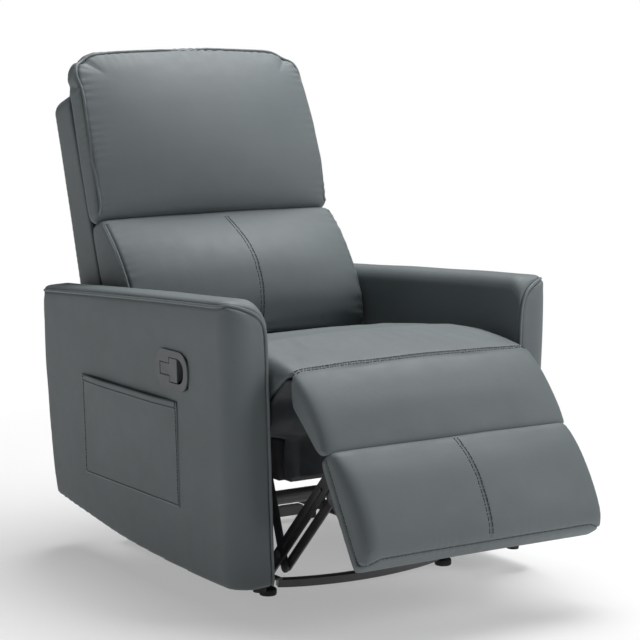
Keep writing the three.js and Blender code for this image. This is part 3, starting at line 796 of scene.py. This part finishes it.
def make_back_lining():
    """Dark cloth stretched over the front of the back frame, between it and the pads."""
    half, low, high, depth = 0.264, 0.062, 0.600, 0.0036
    columns, rows = 40, 40

    def place(u, v):
        dip = 0.0006 * noise.noise(Vector((u * 5, v * 6, 2)))
        return on_back(half * (2 * u - 1), low + (high - low) * v, depth + dip)

    lining = thickened(grid_sheet("back_lining", columns, rows, place), 0.0008)
    finished(lining, dust_cloth, "backrest")


# ---------------------------------------------------------------- seat, chaise and footrest pads

SEAT_HALF = 0.266
FOOTREST_HALF = 0.260
FOOTREST_LENGTH = 0.206
CREASE_REACH = 0.030
CREASE_STRETCH = 0.0035
CHAISE_TAPER = 0.024


def front_seam(cover, step=0.003):
    """The seam across the front of the seat, where the chaise pad begins."""
    start = seat_seam + Vector((0, 0.003, 0))
    ends = [start + Vector((x, 0, 0)) for x in (-SEAT_HALF + 0.003, SEAT_HALF - 0.003)]
    return seam_on(cover, ends, (0, 0, -1), step)


def thinned_to_crease(cover):
    """Brings the chaise pad's back nearer to its face towards the crease."""
    inverse = chaise_frame.inverted()
    out = chaise_frame.to_3x3() @ Vector((0, 0, 1))

    def shift(place, _):
        local = inverse @ place
        along = min(1, max(0, (local.y - 0.03) / (CHAISE_LENGTH - 0.03)))
        return out * CHAISE_TAPER * along * min(1, max(0, -local.z / 0.05))

    return moved(cover, shift)


def make_seat_cover():
    """One cover runs from under the lumbar pad, over the seat and down the chaise pad."""
    cover = thinned_to_crease(remeshed(copied("seat_cover", "seat_cushion", "chaise_pad"), VOXEL, 3))
    to_chaise = chaise_frame.inverted()
    under_seam = seat_seam + Vector((0, 0.020, -0.040))
    under_chaise = [chaise_frame @ Vector((0, along, -0.040)) for along in (0.046, 0.170)]
    core = [Vector((0, hinge.y, 0.395)), under_seam, *under_chaise]
    sides_rounded(cover, core, SEAT_HALF, 0.034, 0.2)
    sewn = close_to(front_seam(cover), 0.009)

    def held(vertex):
        beside_crease = (to_chaise @ vertex.co).y > CHAISE_LENGTH - 0.012
        under_lumbar = vertex.co.y > hinge.y - 0.12
        return vertex.normal.z < -0.3 or beside_crease or under_lumbar or sewn(vertex.co)

    cover = swollen(cover, held, cap=SWELL)
    stretched_to_crease(cover, chaise_frame, CHAISE_LENGTH - CREASE_REACH, 1)
    pressed(cover, front_seam(cover), 0.0024, 0.0028)
    rumpled(cover, 0.0016, 7, seed=21)
    seam = front_seam(cover, 0.002)
    finished(cover, leather, None)
    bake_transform(cover)
    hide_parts("seat_cushion", "chaise_pad")
    twin_stitches("seat_stitches", cover, seam, "chassis")


def stretched_to_crease(pad, local_frame, start, way):
    """Draws a pad out along itself, from start onwards, so that it meets the pad beyond the crease."""
    inverse = local_frame.inverted()
    along = local_frame.to_3x3() @ Vector((0, 1, 0))

    def shift(place, _):
        past = way * ((inverse @ place).y - start) / CREASE_REACH
        return along * way * CREASE_STRETCH * min(1, max(0, past))

    return moved(pad, shift)


def footrest_middle(pad, step=0.003):
    path = [footrest_frame @ Vector((0, along, 0.04)) for along in (0.004, FOOTREST_LENGTH - 0.012)]
    return seam_on(pad, path, footrest_frame.to_3x3() @ Vector((0, 0, -1)), step)


def footrest_hem(pad, step=0.003):
    """The sewn edge: down one side near the back, across the foot of the front, up the other side."""
    corner = [
        (FOOTREST_HALF, 0.006, -0.016),
        (FOOTREST_HALF, FOOTREST_LENGTH - 0.008, -0.016),
        (FOOTREST_HALF - 0.010, FOOTREST_LENGTH - 0.006, -0.001),
        (FOOTREST_HALF - 0.030, FOOTREST_LENGTH - 0.008, 0.010),
    ]
    left = [Vector((-x, along, out)) for x, along, out in corner]
    right = [Vector(place) for place in reversed(corner)]
    return seam_near(pad, [footrest_frame @ place for place in (*left, *right)], step)


def make_footrest_pad():
    pad = remeshed(copied("footrest_cover", "footrest_pad"), VOXEL, 3)
    to_local = footrest_frame.inverted()
    core = [footrest_frame @ Vector((0, along, -0.034)) for along in (0, FOOTREST_LENGTH)]
    sides_rounded(pad, core, FOOTREST_HALF, 0.030, 0.24)
    sewn = [close_to(seam, 0.007) for seam in (footrest_middle(pad), footrest_hem(pad))]

    def held(vertex):
        local = to_local @ vertex.co
        return local.z < -0.03 or local.y < 0.010 or any(near(vertex.co) for near in sewn)

    pad = swollen(pad, held, cap=SWELL)
    stretched_to_crease(pad, footrest_frame, CREASE_REACH, -1)
    pressed(pad, footrest_middle(pad), *SEWN_GROOVE)
    hem = footrest_hem(pad)
    pressed(pad, hem, 0.0036, 0.003)
    puckered(pad, hem, 0.0006, 0.022, 0.012, seed=6)
    rumpled(pad, 0.0012, 7, seed=41)
    finished(pad, leather, "footrest")
    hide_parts("footrest_pad")
    twin_stitches("footrest_stitches", pad, footrest_middle(pad, 0.002), "footrest")
    stitches("footrest_hem_stitches", footrest_hem(pad, 0.002), "footrest")


# ---------------------------------------------------------------- arms

ARM = {
    "thickness": 0.079,
    "top_fall": 0.046,
    "bottom_rise": 0.053,
    "front_corner": 0.044,
    "top_corner": 0.045,
    "inner_corner": 0.004,
    "rear_corner": 0.006,
    "seam_drop": 0.010,
    "roll": 0.028,
    "top": 0.566,
    "bottom": 0.051,
}
lever_axis = Vector(joints["lever_pull"]["axis"])
ARM_LEAN = math.atan2(-lever_axis.x, lever_axis.z)
ARM_OUTER = 0.360
arm_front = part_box("arm_pad_right")[0].y
arm_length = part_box("arm_pad_right")[1].y - arm_front


def arm_frame(side):
    start = Vector((side * ARM_OUTER, arm_front, ARM["top"]))
    mirror = Matrix.Diagonal((side, 1, 1, 1))
    return Matrix.Translation(start) @ Matrix.Rotation(side * ARM_LEAN, 4, "Y") @ mirror


def corner_drop(distance, radius):
    """How far a round corner falls away at a distance from the face."""
    if distance >= radius:
        return 0.0
    return radius - math.sqrt(max(0.0, radius**2 - (radius - distance) ** 2))


def arm_top(depth):
    return -ARM["top_fall"] * (depth / arm_length) ** 1.15


def arm_bottom(depth):
    rise = max(0, depth - 0.06) / (arm_length - 0.06)
    return ARM["bottom"] - ARM["top"] + ARM["bottom_rise"] * rise**2.2


def rear_tuck(height):
    return 1 - 0.035 * (max(0, -height - 0.19) / 0.28) ** 1.5


def arm_limits(depth):
    """Outer, inner, top and bottom of the arm's section at a depth."""
    rear = corner_drop(arm_length - depth, ARM["rear_corner"])
    outer = -corner_drop(depth, ARM["front_corner"]) - rear
    inner = -ARM["thickness"] + corner_drop(depth, ARM["inner_corner"]) + rear
    top = arm_top(depth) - corner_drop(depth, ARM["top_corner"]) - rear
    return outer, inner, top, arm_bottom(depth) + rear * 0.4


def arm_ring(depth):
    """One cross-section of the arm's skin, from its outer bottom edge, over the top and down inside."""
    outer, inner, top, bottom = arm_limits(depth)
    seam = top - ARM["seam_drop"]
    roll = min(ARM["roll"], (outer - inner) * 0.42)
    ring = []
    for i in range(25):
        share = i / 24
        edge = 0.0025 * (math.exp(-(1 - share) * 22) + math.exp(-share * 22))
        ring.append((outer - edge, bottom + (seam - bottom) * share))
    for i in range(1, 9):
        turn = i / 8 * math.pi / 2
        in_from_outer = 0.0008 + roll * 0.6 * (1 - math.cos(turn))
        ring.append((outer - in_from_outer, seam + (top - seam) * math.sin(turn)))
    for i in range(13):
        turn = i / 12 * math.pi / 2
        ring.append((inner + roll * (1 - math.sin(turn)), top - roll * (1 - math.cos(turn))))
    for i in range(1, 17):
        share = i / 16
        ring.append((inner, top - roll + (bottom - top + roll) * share))
    return [Vector((x, depth * rear_tuck(z), z)) for x, z in ring]


def arm_stations():
    radius = ARM["front_corner"]
    front = [radius * (1 - math.cos(i * math.pi / 40)) for i in range(20)]
    middle = [radius + (arm_length - radius - 0.012) * i / 60 for i in range(61)]
    rear = [arm_length - ARM["rear_corner"] * (1 - math.sin(i * math.pi / 12)) for i in range(7)]
    return front + middle + rear


def lofted(name, rings):
    bm = bmesh.new()
    rows = [[bm.verts.new(p) for p in ring] for ring in rings]
    count = len(rows[0])
    for low, high in zip(rows, rows[1:]):
        for i in range(count):
            bm.faces.new((low[i], low[(i + 1) % count], high[(i + 1) % count], high[i]))
    bm.faces.new(reversed(rows[0]))
    bm.faces.new(rows[-1])
    return from_bmesh(name, bm)


def lever_well():
    """The hole in the cover that the lever's cup goes through."""
    low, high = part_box("lever_bezel")
    centre = (low + high) / 2
    size = Vector((0.1, 0.1, 0.058))
    bm = bmesh.new()
    bmesh.ops.create_cube(bm, size=1)
    for vertex in bm.verts:
        vertex.co = centre + vertex.co * size
    return from_bmesh("lever_well", bm)


# The arm seam over the rounded front to the inner edge: across, depth and height.
ARM_SEAM_FRONT = [
    (-0.004, 0.034, -0.0095),
    (-0.016, 0.023, -0.010),
    (-0.031, 0.015, -0.0135),
    (-0.046, 0.009, -0.019),
    (-0.060, 0.005, -0.027),
    (-0.070, 0.003, -0.038),
    (-0.0745, 0.0025, -0.056),
]


def arm_seam_point(depth):
    outer, _, top, _ = arm_limits(depth)
    return Vector((outer, depth * rear_tuck(top), top - ARM["seam_drop"]))


def arm_seam(skin, side):
    """The piped seam: along the outer top edge, over the front corner, down the inner front edge."""
    place = arm_frame(side)
    tree = surface_of(skin)
    points = []
    rear = arm_length - 0.008
    for i in range(90):
        points.append(arm_seam_point(rear - (rear - ARM["front_corner"]) * i / 89))
    _, inner, _, bottom = arm_limits(0.0025)
    points += [Vector(p) for p in ARM_SEAM_FRONT]
    points.append(Vector((inner + 0.0025, 0.0025, bottom)))
    points = smoothed(evenly_spaced(points, 0.004), 12)
    return nearest_on(tree, [place @ point for point in points])


def make_arm(name):
    side = SIDES[name]
    place = arm_frame(side)
    rings = [[place @ p for p in arm_ring(depth)] for depth in arm_stations()]
    skin = lofted(f"arm_cover_{name}", rings)
    if name == "left":
        well = lever_well()
        cut = skin.modifiers.new("well", "BOOLEAN")
        cut.operation = "DIFFERENCE"
        cut.object = well
        skin = baked(skin)
        bpy.data.objects.remove(well)
    skin = remeshed(skin, ARM_VOXEL, 3)
    seam = arm_seam(skin, side)
    pressed(skin, seam, 0.0036, 0.0042)
    rumpled(skin, 0.0014, 6, seed=50 + side)
    finished(skin, leather, "chassis")
    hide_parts(f"arm_pad_{name}")
    piping(f"arm_piping_{name}", seam, "chassis", 0.003, 0.0004)


# ---------------------------------------------------------------- side pocket

POCKET = {
    "front": 0.190,
    "rear": 0.554,
    "low": 0.169,
    "high": 0.365,
    "hem": 0.011,
    "gape": 0.006,
    "cover": 0.0018,
}


def pocket_place(u, v, lift):
    """A place on the pocket: u from its front edge to its rear one, v from its foot to its mouth."""
    opening = min(1, math.sin(math.pi * u) * 1.6) * v**1.6
    wrinkle = 0.0008 * noise.noise(Vector((u * 4, v * 3, 7)))
    depth = POCKET["front"] + (POCKET["rear"] - POCKET["front"]) * u
    height = POCKET["low"] + (POCKET["high"] - POCKET["low"]) * v - ARM["top"]
    out = 0.0006 + POCKET["gape"] * opening + wrinkle + lift
    return arm_frame(SIDES["left"]) @ Vector((out, depth, height))


def make_side_pocket():
    """A patch sewn on three sides, whose mouth stands a little open."""
    hem_start = 1 - POCKET["hem"] / (POCKET["high"] - POCKET["low"])

    def place(u, v):
        return pocket_place(u, v, 0.0007 if v > hem_start else 0)

    pocket = thickened(grid_sheet("side_pocket_cover", 60, 40, place), POCKET["cover"])
    finished(pocket, leather, "chassis")
    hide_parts("side_pocket")
    make_pocket_stitches(pocket, arm_frame(SIDES["left"]))


def make_pocket_stitches(pocket, place):
    toward = place.to_3x3() @ Vector((-1, 0, 0))
    inset = 0.004
    front, rear = POCKET["front"] + inset, POCKET["rear"] - inset
    low, high = POCKET["low"] + inset - ARM["top"], POCKET["high"] - ARM["top"] - 0.001

    def sewn(corners):
        path = [place @ Vector((0.02, depth, height)) for depth, height in corners]
        return seam_on(pocket, path, toward, 0.002)

    edge = sewn([(front, high), (front, low), (rear, low), (rear, high)])
    hem = sewn([(front, high - POCKET["hem"]), (rear, high - POCKET["hem"])])
    stitches("pocket_edge_stitches", edge, "chassis")
    stitches("pocket_hem_stitches", hem, "chassis")


# ---------------------------------------------------------------- dust cloth


def nose_profile():
    """A line down the front of the seat's base, from under the front seam to the frame's rail."""
    low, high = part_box("front_dust_cover")
    rail = (low.y + high.y) / 2 - 0.003
    # The cloth starts just under the front seam, so it darkens the whole seat nose; there it is partly painted
    # shade under the chaise pad's edge.
    under_seam = seat_seam + Vector((0, 0.014, -0.016))
    nose = under_seam + Vector((0, 0.052, -0.046))
    below = Vector((0, nose.y + 0.002, high.z + 0.014))
    hung = [Vector((0, rail, high.z - 0.03)), Vector((0, rail, low.z))]
    return evenly_spaced([under_seam, nose, below, *hung], 0.004)


def make_dust_cover():
    """Thin cloth over the seat's nose, which hangs on in slack folds behind the chaise pad. Over the seat's nose
    it is partly painted shade: a dark sheet laid where the chaise pad's edge shades the nose.
    """
    profile = smoothed(nose_profile(), 10)
    rail_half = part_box("front_dust_cover")[1].x
    rail_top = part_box("front_dust_cover")[1].z

    def place(u, v):
        at = profile[min(len(profile) - 1, round((1 - v) * (len(profile) - 1)))]
        hanging = min(1, max(0, (rail_top - 0.013 - at.z) / 0.012))
        half = SEAT_HALF + (rail_half - SEAT_HALF) * hanging
        fold = 0.006 * math.sin(9 * math.pi * u + 2 * noise.noise(Vector((u * 6, v, 3)))) * (1 - v)
        sag = 0.007 * noise.noise(Vector((u * 5, v * 3, 11))) * math.sin(math.pi * v)
        return Vector((half * (2 * u - 1), at.y - abs(fold) - 0.002 + min(0, sag), at.z))

    cloth = thickened(grid_sheet("dust_cloth", 110, len(profile) - 1, place), 0.0008)
    finished(cloth, dust_cloth, "chassis")
    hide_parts("front_dust_cover")


# ---------------------------------------------------------------- studio


def soft_light(name, place, target, size, power):
    light = bpy.data.lights.new(name, "AREA")
    light.shape = "SQUARE"
    light.size = size
    light.energy = power
    obj = new_object(name, light)
    obj.location = place
    obj.rotation_euler = (Vector(target) - Vector(place)).to_track_quat("-Z", "Y").to_euler()


def make_floor():
    """A pale floor that is plain white further out, where the studio's backdrop meets it. Near the chair it also
    glows white at about a third strength, which is painted light that lifts the chair's shadow on it and lights
    the chair's underside a little.
    """
    bm = bmesh.new()
    bmesh.ops.create_circle(bm, cap_ends=True, radius=40, segments=96)
    floor = from_bmesh("studio_floor", bm)
    shader = Shader("studio_floor")
    shader.set(base_color=(0.9, 0.9, 0.9), roughness=0.85, specular_ior_level=0.1)
    nodes, links = shader.nodes, shader.links
    length = nodes.new("ShaderNodeVectorMath")
    length.operation = "LENGTH"
    links.new(shader.place, length.inputs[0])
    # Share of white glow: 0.36 near the chair, where it is painted light lifting the shadow, rising to 1 far out,
    # where it is the plain backdrop.
    white_glow_share = shader.spread(length.outputs["Value"], 0.5, 1.8, 0.36, 1)
    white = nodes.new("ShaderNodeEmission")
    white.inputs["Strength"].default_value = 1.0
    seen = nodes.new("ShaderNodeMixShader")
    links.new(white_glow_share, seen.inputs["Fac"])
    links.new(shader.bsdf.outputs["BSDF"], seen.inputs[1])
    links.new(white.outputs["Emission"], seen.inputs[2])
    links.new(seen.outputs["Shader"], nodes["Material Output"].inputs["Surface"])
    floor.data.materials.append(shader.material)


def make_world():
    """White where the camera sees it, and a dimmer even light on the chair."""
    world = bpy.data.worlds.new("studio")
    world.use_nodes = True
    nodes, links = world.node_tree.nodes, world.node_tree.links
    ambient = nodes["Background"]
    ambient.inputs["Strength"].default_value = 0.02
    backdrop = nodes.new("ShaderNodeBackground")
    backdrop.inputs["Color"].default_value = (1, 1, 1, 1)
    ambient.inputs["Color"].default_value = (0.95, 0.98, 1, 1)
    path = nodes.new("ShaderNodeLightPath")
    mix = nodes.new("ShaderNodeMixShader")
    links.new(path.outputs["Is Camera Ray"], mix.inputs["Fac"])
    links.new(ambient.outputs["Background"], mix.inputs[1])
    links.new(backdrop.outputs["Background"], mix.inputs[2])
    links.new(mix.outputs["Shader"], nodes["World Output"].inputs["Surface"])
    bpy.context.scene.world = world
    bpy.context.scene.view_settings.view_transform = "Standard"


def make_lights():
    soft_light("overhead", (0.8, 0.5, 3.0), (0, -0.1, 0.4), 2.4, 118)
    soft_light("key_right", (1.9, -2.5, 1.5), (0, -0.2, 0.4), 1.6, 44)
    soft_light("fill_left", (-3.0, 2.0, 1.2), (0, 0.1, 0.4), 2.0, 8)


def make_camera():
    azimuth, elevation, distance = math.radians(-32.92), math.radians(8.19), 4.285
    target = Vector((0, 0.07, 0.475))
    back = Vector((
        math.sin(azimuth) * math.cos(elevation),
        -math.cos(azimuth) * math.cos(elevation),
        math.sin(elevation)))
    camera = bpy.data.cameras.new("camera")
    camera.sensor_width = 36
    camera.lens = 124.3
    camera.shift_x = 0.0415
    camera.shift_y = -0.0069
    obj = new_object("camera", camera)
    obj.location = target + back * distance
    obj.rotation_euler = (-back).to_track_quat("-Z", "Y").to_euler()
    bpy.context.scene.camera = obj


# ---------------------------------------------------------------- build

make_camera()
make_world()
make_lights()
make_floor()
dress_cad_nodes()
make_head_pillow()
make_lumbar_pad()
make_back_shell()
make_back_lining()
make_seat_cover()
make_footrest_pad()
make_arm("left")
make_arm("right")
make_side_pocket()
make_dust_cover()
